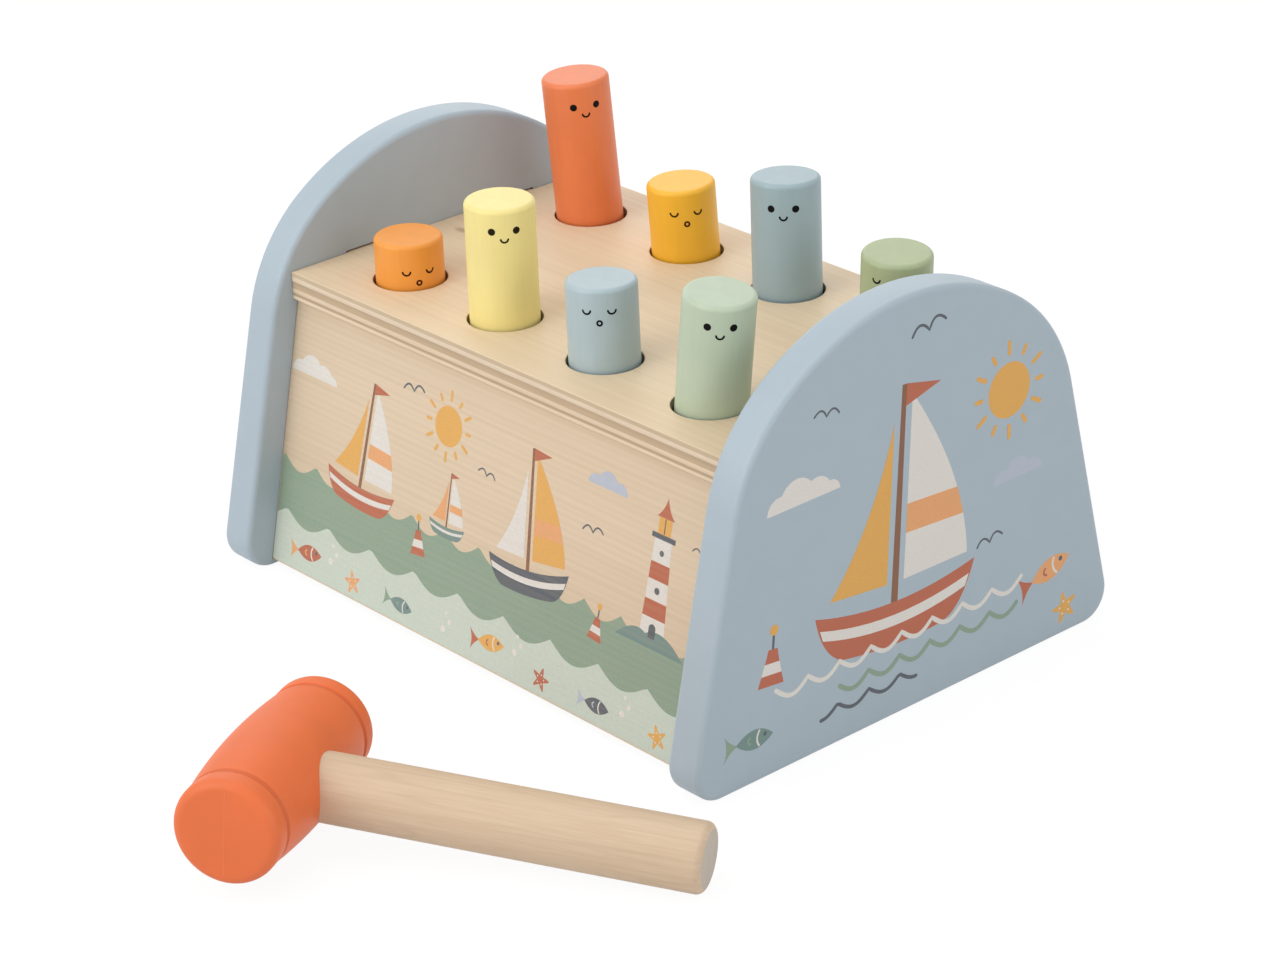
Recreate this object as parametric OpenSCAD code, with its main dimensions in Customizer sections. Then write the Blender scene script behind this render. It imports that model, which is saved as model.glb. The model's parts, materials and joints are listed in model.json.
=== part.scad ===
// Peg pounding bench with a mallet.
// Eight pegs stand in four front and back pairs. Each pair rests on its own see-saw inside the bench,
// so a peg that is knocked down lifts its partner.
// The bench stands on the plane z = 0, centred on the origin: X runs along it, -Y is its front.

/* [End panels] */
// Length of the bench over both end panels
bench_len = 230; // [215:1:280]
// Thickness of an end panel
panel_t = 13; // [10:0.1:16]
// Height of an end panel
panel_h = 135.3; // [125:0.1:150]
// Depth of an end panel at its foot
panel_d = 175.7; // [170:0.1:190]
// Radius of the crown arc
crown_r = 82.8; // [78:0.1:90]
// Radius of the two shoulder arcs
shoulder_r = 56.8; // [50:0.1:62]
// Half of the angle that the crown arc covers
crown_half_angle = 36.1; // [30:0.1:40]
// Radius of the two lower corners
corner_r = 9.9; // [6:0.1:12]
// Roundover of the panel's edges
panel_edge_r = 1.9; // [0.8:0.1:3]

/* [Boards] */
// Distance from the panel's crown down to the top board's upper face
deck_drop = 35.6; // [30:0.1:40]
// Thickness of the top board
deck_t = 9.4; // [8:0.1:12]
// Distance of the top board's edges from the panel's outline
deck_inset = 3.6; // [2.5:0.1:5]
// Width of the four tongues on the top board's ends
tongue_w = 22; // [16:0.5:30]
// Distance of each tongue from the middle
tongue_y = 28.5; // [20:0.5:40]
// Room left over a tongue in its mortise
tongue_slack = 0.6; // [0.2:0.05:1]
// Overhang of the top board past the front and back boards
deck_overhang = 2.1; // [0.5:0.1:4]
// Thickness of the front and back boards
wall_t = 6; // [4:0.1:7]
// Distance of the front and back boards from the panel's foot edge
wall_inset = 9.4; // [8:0.1:12]
// Height of the front and back boards' lower edge above the floor
wall_lift = 2.7; // [2.3:0.1:5]
// Thickness of the base board
base_t = 4; // [3:0.1:6]
// Height of the base board's underside above the floor
base_lift = 6; // [3:0.1:12]
// Depth that the boards' ends go into the end panels
housing_depth = 4; // [2:0.1:6]
// Clearance round a board's end in its housing
housing_fit = 0.15; // [0.05:0.05:0.4]

/* [Pegs] */
// Diameter of a peg
peg_d = 22.1; // [18:0.1:24]
// Radial clearance of a peg in its hole
peg_fit = 0.9; // [0.5:0.05:1.2]
// Distance between neighbouring pairs of pegs
peg_pitch = 47; // [40:0.1:50]
// Distance of each row of pegs from the middle
row_y = 38.2; // [34:0.1:39]
// Height of both pegs above the top board when their see-saw is level
peg_level_h = 31.6; // [25:0.1:40]
// Travel of a peg up or down from level
peg_travel = 17; // [10:0.1:20]
// Roundover of a peg's top rim
peg_rim_r = 1.5; // [0.8:0.1:4]
// Width of the collar that keeps a peg from coming out
collar_lip = 2.2; // [1.8:0.1:3]
// Height of the collar
collar_h = 4; // [2:0.1:6]
// Gap left over the collar when its peg is fully up
collar_stop = 2.2; // [2:0.1:3]
// Radius of the domed foot of a peg
peg_foot_r = 30; // [20:1:60]

/* [See-saws] */
// Width of a see-saw, along the bench
rocker_w = 18; // [12:0.5:24]
// Radius of a see-saw's round ends
rocker_end_r = 6; // [4:0.1:8]
// Radius of a see-saw's hub
rocker_hub_r = 8; // [6:0.1:9]
// Height of the web over the pivot
web_over = 1.5; // [1:0.1:2]
// Depth of the web under the pivot
web_under = 5; // [4:0.1:5.5]
// Gap between a peg's foot and its see-saw
seat_gap = 0.6; // [0.55:0.05:0.9]
// Diameter of the pivot rod
rod_d = 6; // [4:0.1:8]
// Radial clearance of the see-saws and spacers on the rod
rod_fit = 0.08; // [0.02:0.01:0.1]
// Depth that the rod goes into each end panel
rod_seat = 6; // [4:0.1:7]
// Outer diameter of the spacers
spacer_d = 12; // [10:0.1:15]
// Gap at each side of a see-saw
side_gap = 0.3; // [0.2:0.05:0.6]

/* [Mallet] */
// Length of the mallet's head
head_len = 76; // [50:0.1:90]
// Diameter of the head's end bands
head_d = 32.3; // [28:0.1:40]
// Swelling of the head's middle, on the radius
head_swell = 1.7; // [0.1:0.1:3]
// Roundover of the head's two faces
head_rim_r = 3; // [1:0.1:4]
// Width of the band at each end of the head
band_w = 7; // [5:0.1:10]
// Width of the groove behind each band
band_groove_w = 2; // [1:0.1:3]
// Depth of the groove behind each band
band_groove_t = 0.7; // [0.3:0.1:1.5]
// Diameter of the handle
handle_d = 20.8; // [16:0.1:24]
// Reach of the handle from the head's axis to its end
handle_reach = 129.5; // [100:0.1:180]
// Roundover of the handle's end
handle_rim_r = 2.5; // [1:0.1:4]
// Depth that the handle goes past the head's axis
handle_seat = 7; // [4:0.1:9]
// Radial clearance of the handle in the head
handle_fit = 0.05; // [0.02:0.01:0.1]
// Place of the head along the bench
mallet_x = 38.7; // [-60:0.1:80]
// Distance of the head in front of the panels' feet
mallet_gap = 93.3; // [80:0.1:150]
// Direction of the handle, turned from the bench's length
mallet_turn = 31; // [0:0.1:40]
// Roll of the mallet about its handle, on to the head's far band
mallet_roll = 4.2; // [0:0.1:5]

/* [Hidden] */
$fn = 96;
overrun = 1;
arc_steps = 10;
crown_steps = 18;
shoulder_steps = 14;
edge_steps = 4;

// Rest position of each pair as a share of the travel: positive lifts the front peg
rest_shares = [-1, 0.45, -0.33, 0.31];
// Lean of each peg, front row then back row, as a share of what its loose hole allows
lean_shares = [[0, 0, -0.05, 0.45], [-0.34, -0.25, 0, 0.17]];
// Nod of each peg, across its lean and towards the front, as a like share
nod_shares = [[0, 0, -0.2, 0.4], [0, 0, -0.3, 0.3]];
// Direction in which a positive lean goes, turned from the bench's length
lean_turn = 49;

peg_names = ["orange_peg", "yellow_peg", "light_blue_peg", "mint_peg",
             "red_peg", "mustard_peg", "blue_peg", "green_peg"];
peg_tints = ["orange", "khaki", "lightsteelblue", "darkseagreen",
             "tomato", "goldenrod", "slategray", "darkkhaki"];
rocker_names = ["rocker_1", "rocker_2", "rocker_3", "rocker_4"];

// End panel: crown, shoulder and corner arcs, with a straight side between shoulder and corner
inner_x = bench_len / 2 - panel_t;
crown_z = panel_h - crown_r;
shoulder_y = (crown_r - shoulder_r) * sin(crown_half_angle);
shoulder_z = crown_z + (crown_r - shoulder_r) * cos(crown_half_angle);
corner_y = panel_d / 2 - corner_r;
side_dy = corner_y - shoulder_y;
side_dz = shoulder_z - corner_r;
side_angle = acos((shoulder_r - corner_r) / norm([side_dy, side_dz])) - atan2(side_dz, side_dy);

// Boards
deck_h = panel_h - deck_drop;
deck_y = shoulder_y + sqrt(pow(shoulder_r, 2) - pow(deck_h - shoulder_z, 2)) - deck_inset;
deck_under = deck_h - deck_t;
wall_head_y = deck_y - deck_overhang;
wall_foot_y = panel_d / 2 - wall_inset;
wall_rise = deck_under - wall_lift;
wall_run = wall_foot_y - wall_head_y;
wall_skew_t = wall_t * norm([wall_rise, wall_run]) / wall_rise;
board_len = 2 * (inner_x + housing_depth - housing_fit);
base_y = wall_foot_y - wall_skew_t - wall_run * (base_lift + base_t - wall_lift) / wall_rise - housing_fit;

// Pegs
peg_r = peg_d / 2;
hole_r = peg_r + peg_fit;
lean_limit = atan(2 * peg_fit / deck_t);
collar_r = peg_r + collar_lip;
collar_top = -(peg_level_h + peg_travel + deck_t + collar_stop);
foot_top = collar_top - collar_h;
foot_rise = peg_foot_r - sqrt(pow(peg_foot_r, 2) - pow(collar_r, 2));
foot_angle = asin(collar_r / peg_foot_r);
columns = len(rest_shares);
column_x = [for (c = [0 : columns - 1]) (c - (columns - 1) / 2) * peg_pitch];
row_side = [-1, 1];

// See-saws
pivot_z = deck_h + peg_level_h + foot_top - foot_rise - seat_gap - rocker_end_r;
rod_r = rod_d / 2;
rod_bore_r = rod_r + rod_fit;
middle_spacer_len = peg_pitch - rocker_w - 2 * side_gap;
end_spacer_len = inner_x - column_x[columns - 1] - rocker_w / 2 - 2 * side_gap;

// Mallet
head_r = head_d / 2;
handle_r = handle_d / 2;
head_belly_r = head_r + head_swell;
belly_half = head_len / 2 - band_w - band_groove_w;
belly_r = (pow(belly_half, 2) + pow(head_swell, 2)) / (2 * head_swell);
belly_angle = asin(belly_half / belly_r);
belly_rest_z = belly_r - (belly_r - head_belly_r) * cos(mallet_roll);
band_rest_z = head_rim_r + (head_r - head_rim_r) * cos(mallet_roll)
    + (head_len / 2 - head_rim_r) * sin(mallet_roll);
mallet_z = max(belly_rest_z, band_rest_z);
mallet_tilt = asin((mallet_z - handle_r) / handle_reach);

function arc(centre, r, from, to, steps) =
    [for (i = [0 : steps]) let (a = from + (to - from) * i / steps) centre + r * [cos(a), sin(a)]];

// Back half of the panel's outline, from the foot up to the crown, drawn in by inset
function panel_half(inset) = concat(
    arc([corner_y, corner_r], corner_r - inset, -90, side_angle, arc_steps),
    arc([shoulder_y, shoulder_z], shoulder_r - inset, side_angle, 90 - crown_half_angle, shoulder_steps),
    arc([0, crown_z], crown_r - inset, 90 - crown_half_angle, 90, crown_steps));
function panel_outline(inset) = let (half = panel_half(inset))
    concat(half, [for (i = [len(half) - 2 : -1 : 0]) [-half[i][0], half[i][1]]]);

// The panel's rounded edge as rings, each with its inset and its distance from the inner face
panel_rings = [for (outer = [0, 1], i = [0 : edge_steps])
    let (a = 90 * (outer == 1 ? edge_steps - i : i) / edge_steps, depth = panel_edge_r * (1 - cos(a)))
    [panel_edge_r * (1 - sin(a)), outer == 1 ? panel_t - depth : depth]];

// Turns an outline in the YZ plane into a solid along X
module along_x(length) {
    rotate([90, 0, 90]) linear_extrude(height = length, center = true) children();
}

// A board's upright section, leaning inwards, on the side of the bench given by side
module wall_section(side, grow) {
    offset_run = wall_run * grow / wall_rise;
    polygon([[side * (wall_head_y - offset_run + grow), deck_under + grow],
             [side * (wall_foot_y + offset_run + grow), wall_lift - grow],
             [side * (wall_foot_y + offset_run - wall_skew_t - grow), wall_lift - grow],
             [side * (wall_head_y - offset_run - wall_skew_t - grow), deck_under + grow]]);
}

// A mortise for one of the top board's tongues, with room over it
module mortise_section(side) {
    translate([side * tongue_y - tongue_w / 2 - housing_fit, deck_under - housing_fit])
        square([tongue_w + 2 * housing_fit, deck_t + housing_fit + tongue_slack]);
}

module base_section(grow) {
    translate([-base_y - grow, base_lift - grow])
        square([2 * (base_y + grow), base_t + 2 * grow]);
}

// Housings and mortises for the boards' ends and the rod's blind hole, cut into the face of a panel at x = 0
module panel_housings() {
    along_x(2 * housing_depth) {
        base_section(housing_fit);
        for (side = row_side) {
            mortise_section(side);
            wall_section(side, housing_fit);
        }
    }
    translate([0, 0, pivot_z])
        rotate([0, 90, 0])
            cylinder(r = rod_bore_r, h = 2 * rod_seat, center = true);
}

// A panel whose inner face lies at x = 0 and whose outer face lies at x = panel_t
module end_panel() {
    outlines = [for (ring = panel_rings) panel_outline(ring[0])];
    n = len(outlines[0]);
    last = len(panel_rings) - 1;
    points = [for (k = [0 : last], p = outlines[k]) [panel_rings[k][1], p[0], p[1]]];
    sides = [for (k = [0 : last - 1], i = [0 : n - 1])
        let (j = (i + 1) % n, a = k * n, b = (k + 1) * n)
        each [[a + i, b + i, b + j], [a + i, b + j, a + j]]];
    inner_face = [for (i = [0 : n - 1]) i];
    outer_face = [for (i = [n - 1 : -1 : 0]) last * n + i];
    difference() {
        polyhedron(points, concat(sides, [inner_face, outer_face]));
        panel_housings();
    }
}

module left_end_panel() {
    color("lightsteelblue") translate([-inner_x, 0, 0]) mirror([1, 0, 0]) end_panel();
}

module right_end_panel() {
    color("lightsteelblue") translate([inner_x, 0, 0]) end_panel();
}

module top_board() {
    color("burlywood")
        difference() {
            translate([0, 0, deck_under])
                linear_extrude(height = deck_t) {
                    square([2 * (inner_x - housing_fit), 2 * deck_y], center = true);
                    for (side = row_side)
                        translate([0, side * tongue_y]) square([board_len, tongue_w], center = true);
                }
            for (x = column_x, side = row_side)
                translate([x, side * row_y, deck_under - overrun])
                    cylinder(r = hole_r, h = deck_t + 2 * overrun);
        }
}

module front_board() {
    color("wheat") along_x(board_len) wall_section(-1, 0);
}

module back_board() {
    color("wheat") along_x(board_len) wall_section(1, 0);
}

module base_board() {
    color("tan") along_x(board_len) base_section(0);
}

module pivot_rod() {
    color("silver")
        translate([0, 0, pivot_z])
            rotate([0, 90, 0])
                cylinder(r = rod_r, h = 2 * (inner_x + rod_seat - side_gap), center = true);
}

module spacer(x, length) {
    color("tan")
        translate([x, 0, pivot_z])
            rotate([0, 90, 0])
                difference() {
                    cylinder(d = spacer_d, h = length, center = true);
                    cylinder(r = rod_bore_r, h = length + 2 * overrun, center = true);
                }
}

module end_spacers() {
    for (side = row_side)
        spacer(side * (inner_x - side_gap - end_spacer_len / 2), end_spacer_len);
}

module middle_spacers() {
    for (c = [0 : columns - 2])
        spacer((column_x[c] + column_x[c + 1]) / 2, middle_spacer_len);
}

// The see-saw under one pair of pegs, tilted as the pair rests
module rocker(c) {
    color("peru")
        translate([column_x[c], 0, pivot_z])
            rotate([-asin(rest_shares[c] * peg_travel / row_y), 0, 0])
                along_x(rocker_w)
                    difference() {
                        union() {
                            circle(r = rocker_hub_r);
                            translate([-row_y, -web_under]) square([2 * row_y, web_under + web_over]);
                            for (side = row_side)
                                translate([side * row_y, 0]) circle(r = rocker_end_r);
                        }
                        circle(r = rod_bore_r);
                    }
}

// Half section of a peg, with its top at height zero
peg_profile = concat(
    [[0, 0]],
    arc([peg_r - peg_rim_r, -peg_rim_r], peg_rim_r, 90, 0, arc_steps),
    [[peg_r, collar_top], [collar_r, collar_top]],
    arc([0, foot_top - foot_rise + peg_foot_r], peg_foot_r, foot_angle - 90, -90, arc_steps));

// A peg of column c in the front row, r = 0, or the back row, r = 1
module peg(c, r) {
    rise = peg_level_h - row_side[r] * rest_shares[c] * peg_travel;
    color(peg_tints[c + columns * r])
        translate([column_x[c], row_side[r] * row_y, deck_h - deck_t / 2])
            rotate([0, 0, lean_turn])
                rotate([nod_shares[r][c] * lean_limit, lean_shares[r][c] * lean_limit, 0])
                    translate([0, 0, deck_t / 2 + rise])
                        rotate_extrude() polygon(peg_profile);
}

// Puts a mallet piece, made with the head's axis on Y and the handle on X, on the floor
module lay_mallet() {
    translate([mallet_x, -panel_d / 2 - mallet_gap, mallet_z])
        rotate([0, 0, mallet_turn])
            rotate([0, mallet_tilt, 0])
                rotate([-mallet_roll, 0, 0]) children();
}

// Half section of the head's right half, from its middle to its face
head_half = concat(
    arc([head_belly_r - belly_r, 0], belly_r, 0, belly_angle, arc_steps),
    [[head_r - band_groove_t, belly_half], [head_r - band_groove_t, belly_half + band_groove_w],
     [head_r, belly_half + band_groove_w]],
    arc([head_r - head_rim_r, head_len / 2 - head_rim_r], head_rim_r, 0, 90, arc_steps),
    [[0, head_len / 2]]);
head_other_half = [for (i = [len(head_half) - 1 : -1 : 1]) [head_half[i][0], -head_half[i][1]]];

module mallet_head() {
    color("orangered")
        lay_mallet()
            difference() {
                rotate([90, 0, 0]) rotate_extrude() polygon(concat(head_other_half, head_half));
                translate([-handle_seat, 0, 0])
                    rotate([0, 90, 0])
                        cylinder(r = handle_r + handle_fit, h = handle_seat + head_belly_r + overrun);
            }
}

// Half section of the handle, from its seat in the head to its rounded end
handle_profile = concat(
    [[0, handle_fit - handle_seat], [handle_r, handle_fit - handle_seat]],
    arc([handle_r - handle_rim_r, handle_reach - handle_rim_r], handle_rim_r, 0, 90, arc_steps),
    [[0, handle_reach]]);

module mallet_handle() {
    color("burlywood")
        lay_mallet()
            rotate([0, 90, 0]) rotate_extrude() polygon(handle_profile);
}

left_end_panel();
right_end_panel();
top_board();
front_board();
back_board();
base_board();
pivot_rod();
end_spacers();
middle_spacers();
for (c = [0 : columns - 1])
    rocker(c);
for (c = [0 : columns - 1], r = [0, 1])
    peg(c, r);
mallet_head();
mallet_handle();
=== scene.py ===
import json
import math

import bmesh
import bpy
from mathutils import Matrix, Vector


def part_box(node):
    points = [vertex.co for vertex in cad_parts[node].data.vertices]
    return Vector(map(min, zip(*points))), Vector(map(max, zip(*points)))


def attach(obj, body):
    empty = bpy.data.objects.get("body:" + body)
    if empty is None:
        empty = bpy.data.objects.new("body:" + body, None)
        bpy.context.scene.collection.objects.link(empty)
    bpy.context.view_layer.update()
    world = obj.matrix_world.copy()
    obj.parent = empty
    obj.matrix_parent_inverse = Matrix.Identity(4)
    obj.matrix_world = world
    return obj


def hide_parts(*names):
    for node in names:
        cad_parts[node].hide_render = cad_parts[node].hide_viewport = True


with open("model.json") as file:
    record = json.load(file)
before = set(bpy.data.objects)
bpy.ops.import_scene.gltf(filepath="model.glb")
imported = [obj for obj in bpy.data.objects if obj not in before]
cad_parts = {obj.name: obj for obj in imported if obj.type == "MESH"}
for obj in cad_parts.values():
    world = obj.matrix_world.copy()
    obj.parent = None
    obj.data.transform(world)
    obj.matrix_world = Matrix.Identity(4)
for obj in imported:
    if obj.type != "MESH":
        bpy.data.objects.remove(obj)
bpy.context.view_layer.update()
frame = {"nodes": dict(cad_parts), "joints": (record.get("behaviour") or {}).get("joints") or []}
nodes = frame["nodes"]
joints = {joint["name"]: joint for joint in frame["joints"]}
mm = 0.001
tiny = 1e-7
creaseAngle = 40  # in degrees; flatter edges are shaded smooth
noiseSpan = (0.3, 0.7)  # where most of a noise's values lie


# Shader tools

class Signal:
    def __init__(self, finish, socket):
        self.finish = finish
        self.socket = socket

    def maths(self, operation, first, second):
        return self.finish.node("ShaderNodeMath", {"operation": operation}, {0: first, 1: second})

    def __add__(self, other):
        return self.maths("ADD", self, other)

    def __radd__(self, other):
        return self.maths("ADD", other, self)

    def __sub__(self, other):
        return self.maths("SUBTRACT", self, other)

    def __rsub__(self, other):
        return self.maths("SUBTRACT", other, self)

    def __mul__(self, other):
        return self.maths("MULTIPLY", self, other)

    def __rmul__(self, other):
        return self.maths("MULTIPLY", other, self)

    def __or__(self, other):  # whichever is larger
        return self.maths("MAXIMUM", self, other)

    def __ror__(self, other):
        return self.maths("MAXIMUM", other, self)


class Finish:
    def __init__(self, owner):
        owner.use_nodes = True
        self.material = owner
        self.tree = owner.node_tree

    def feed(self, socket, value):
        if isinstance(value, Signal):
            self.tree.links.new(value.socket, socket)
        else:
            socket.default_value = value

    def node(self, kind, settings=None, sockets=None, output=0):
        made = self.tree.nodes.new(kind)
        for name, value in (settings or {}).items():
            if name == "stops":  # the colours of a ramp, with their places
                ramp = made.color_ramp
                ramp.elements.remove(ramp.elements[1])
                ramp.elements[0].position, ramp.elements[0].color = value[0]
                for position, colour in value[1:]:
                    ramp.elements.new(position).color = colour
            else:
                setattr(made, name, value)
        for name, value in (sockets or {}).items():
            self.feed(made.inputs[name], value)
        return Signal(self, made.outputs[output])

    def surface(self, sockets, shader="Principled BSDF"):
        for name, value in sockets.items():
            self.feed(self.tree.nodes[shader].inputs[name], value)

    def spot(self, scale):  # the place on the piece, stretched by scale
        place = self.node("ShaderNodeTexCoord", output="Object")
        return self.node("ShaderNodeMapping", {}, {"Vector": place, "Scale": scale})

    def noise(self, scale, detail=3, roughness=0.5):
        return self.node("ShaderNodeTexNoise", {}, {"Vector": self.spot(scale), "Scale": 1,
                                                    "Detail": detail, "Roughness": roughness})

    def ease(self, value, low, high, start=0, end=1):
        return self.node("ShaderNodeMapRange", {"interpolation_type": "SMOOTHSTEP"},
                         {"Value": value, "From Min": low, "From Max": high, "To Min": start, "To Max": end})

    def mix(self, factor, first, second):
        return self.node("ShaderNodeMix", {"data_type": "RGBA"}, {0: factor, 6: first, 7: second}, 2)

    def mottled(self, field, colour, low, high):  # a colour between two shades of itself
        return self.mix(self.ease(field, *noiseSpan), shade(colour, low), shade(colour, high))

    def bump(self, height, distance, strength):
        return self.node("ShaderNodeBump", {}, {"Height": height, "Distance": distance, "Strength": strength})


def newFinish(name):
    return Finish(bpy.data.materials.new(name))


def tint(red, green, blue):  # a colour as it is read on a screen, 0 to 255
    def linear(part):
        part /= 255
        return part / 12.92 if part <= 0.04045 else ((part + 0.055) / 1.055) ** 2.4
    return (linear(red), linear(green), linear(blue), 1)


def shade(colour, share):
    return tuple(part * share for part in colour[:3]) + (1,)


# Mesh tools

def arc(centre, radius, start, end, steps):
    angles = [math.radians(start + (end - start) * i / steps) for i in range(steps + 1)]
    return [(centre[0] + radius * math.cos(a), centre[1] + radius * math.sin(a)) for a in angles]


def bend(start, pull, end, steps=12):  # a curve from start to end, drawn towards pull
    shares = [i / steps for i in range(steps + 1)]
    return [tuple((1 - t) ** 2 * a + 2 * t * (1 - t) * b + t * t * c for a, b, c in zip(start, pull, end))
            for t in shares]


def clean(loop):  # drops points that fall on the one before
    return [p for p, q in zip(loop, loop[-1:] + loop[:-1]) if math.dist(p, q) > tiny]


def inset(loop, distance):  # moves a loop to its left: into a solid on a counter-clockwise outline
    moved = []
    for before, point, after in zip(loop[-1:] + loop[:-1], loop, loop[1:] + loop[:1]):
        into = (Vector(point) - Vector(before)).normalized()
        out = (Vector(after) - Vector(point)).normalized()
        mitre = Vector((-into.y - out.y, into.x + out.x)) / (1 + into.dot(out))
        moved.append(tuple(Vector(point) + mitre * distance))
    return moved


def ringEdges(bm, ring):
    return [bm.edges.get(pair) or bm.edges.new(pair) for pair in zip(ring, ring[1:] + ring[:1])]


def joinRings(bm, rings):
    for lower, upper in zip(rings, rings[1:]):
        count = max(len(lower), len(upper))
        for k in range(count):
            corners = [lower[k % len(lower)], lower[(k + 1) % len(lower)],
                       upper[(k + 1) % len(upper)], upper[k % len(upper)]]
            bm.faces.new(list(dict.fromkeys(corners)))


def roundedRings(thickness, radius, steps, support, between=()):
    turns = [math.radians(90 * i / steps) for i in range(steps + 1)]
    lower = [(radius * (1 - math.sin(a)), radius * (1 - math.cos(a))) for a in turns]
    upper = [(inward, thickness - height) for inward, height in reversed(lower)]
    return [(radius + support, 0), *lower, *between, *upper, (radius + support, thickness)]


# the loops are the outline, then any holes clockwise; pockets go into the first face
def plate(bm, loops, rings, place, pockets=()):
    firstEdges, lastEdges = [], []
    for loop in loops:
        stack = [[bm.verts.new(place(u, v, height)) for u, v in inset(loop, inward)]
                 for inward, height in rings]
        joinRings(bm, stack)
        firstEdges += ringEdges(bm, stack[0])
        lastEdges += ringEdges(bm, stack[-1])
    for loop, depth in pockets:
        mouth, floor = ([bm.verts.new(place(u, v, height)) for u, v in loop] for height in (0, depth))
        before = len(bm.faces)
        joinRings(bm, [mouth, floor])
        bm.faces.new(floor)
        for facet in list(bm.faces)[before:]:  # the bare board inside takes the second finish, made dark as painted shade
            facet.material_index = 1
        firstEdges += ringEdges(bm, mouth)
    for edges in (firstEdges, lastEdges):
        bmesh.ops.triangle_fill(bm, use_beauty=True, use_dissolve=False, edges=edges)


def lathe(bm, profile, segments, place=lambda x, y, z: (x, y, z)):
    turns = [2 * math.pi * k / segments for k in range(segments)]
    rings = [[bm.verts.new(place(radius * math.cos(a), radius * math.sin(a), height)) for a in turns]
             if radius > tiny else [bm.verts.new(place(0, 0, height))] for radius, height in profile]
    joinRings(bm, rings)


def ribbon(bm, points, width, low, high, place, closed=False):  # a flat stroke with round ends
    sections = []
    last = len(points) - 1
    for i, point in enumerate(points):
        ahead = points[(i + 1) % len(points)] if closed or i < last else point
        behind = points[i - 1] if closed or i > 0 else point
        along = (Vector(ahead) - Vector(behind)).normalized()
        side = Vector((-along.y, along.x)) * width / 2
        ends = [(1, 0)]
        if not closed and i in (0, last):  # each round end takes two narrower sections more
            outwards = -1 if i == 0 else 1
            ends = [(1, 0), (0.8, outwards * 0.3), (0.35, outwards * 0.48)][::outwards]
        for share, reach in ends:
            middle = Vector(point) + along * reach * width
            left, right = middle + side * share, middle - side * share
            sections.append([bm.verts.new(place(p.x, p.y, height))
                             for p, height in ((left, high), (right, high), (right, low), (left, low))])
    joinRings(bm, sections + sections[:1] if closed else sections)
    if not closed:
        bm.faces.new(sections[0])
        bm.faces.new(sections[-1])


def slab(bm, loop, low, high, place):  # a filled outline
    lower, upper = ([bm.verts.new(place(u, v, height)) for u, v in loop] for height in (low, high))
    joinRings(bm, [lower, upper])
    bm.faces.new(lower)
    bm.faces.new(upper)


def newPiece(name, bm, body, finishes, stands=(), matrix=Matrix.Identity(4), sharp=creaseAngle):
    bmesh.ops.recalc_face_normals(bm, faces=bm.faces)
    mesh = bpy.data.meshes.new(name)
    bm.to_mesh(mesh)
    bm.free()
    for finish in finishes:
        mesh.materials.append(finish.material)
    mesh.polygons.foreach_set("use_smooth", [True] * len(mesh.polygons))
    mesh.set_sharp_from_angle(angle=math.radians(sharp))
    piece = bpy.data.objects.new(name, mesh)
    piece.matrix_world = matrix
    bpy.context.scene.collection.objects.link(piece)
    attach(piece, body)
    if stands:
        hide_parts(*stands)
    return piece


# Woods

deckWood = {"light": tint(236, 215, 183), "dark": tint(225, 200, 166), "growth": (9, 560, 560),
            "pores": (90, 3000, 3000), "broad": (5, 34, 34), "contrast": 0.6, "stripe": 0, "roughness": 0.5,
            "relief": 0.2}
wallWood = {"light": tint(228, 207, 179), "dark": tint(215, 192, 162), "growth": (6, 520, 520),
            "pores": (60, 3000, 3000), "broad": (4, 26, 26), "contrast": 0.5, "stripe": 0.2,
            "stripeScale": 150, "stripeStretch": 0.05, "stripeDrift": 9, "roughness": 0.52, "relief": 0.12}
beechWood = {"light": tint(222, 190, 152), "dark": tint(196, 158, 118), "growth": (300, 12, 300),
             "pores": (1800, 120, 1800), "broad": (40, 6, 40), "contrast": 0.7, "stripe": 0, "roughness": 0.6,
             "relief": 0.5}
baseWood = {"light": tint(220, 194, 158), "dark": tint(196, 166, 126), "growth": (7, 420, 420),
            "pores": (70, 2600, 2600), "broad": (4, 22, 22), "contrast": 0.7, "stripe": 0, "roughness": 0.62,
            "relief": 0.5}
handleWood = {"light": tint(226, 202, 173), "dark": tint(211, 182, 151), "growth": (900, 900, 50),
              "pores": (3000, 3000, 190), "broad": (60, 60, 12), "contrast": 0.42, "stripe": 0,
              "roughness": 0.55, "relief": 0.25, "figure": (95, 95, 5)}
# what all the woods share
woodLook = {"broadShare": 0.7, "poreShare": 0.3, "fleckStart": 0.66, "fleckEnd": 0.78, "fleckDepth": 0.35,
            "fleckShade": 0.82, "ringGap": 0.05, "ringWidth": 0.01, "ringDepth": 0.3, "ringShade": 0.86,
            "poreSheen": 0.2, "poreRelief": 0.6, "bumpHeight": 0.06 * mm}


def grainOf(finish, wood):
    grain = finish.noise(wood["growth"], detail=4, roughness=0.55)
    if wood["stripe"]:
        stretched = finish.spot((wood["stripeStretch"], 1, 1))
        wave = finish.node("ShaderNodeTexWave", {"bands_direction": "Z"},
                           {"Vector": stretched, "Scale": wood["stripeScale"],
                            "Distortion": wood["stripeDrift"], "Detail": 2, "Detail Scale": 0.3}, 1)
        grain = grain * (1 - wood["stripe"]) + wave * wood["stripe"]
    return grain


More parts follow.
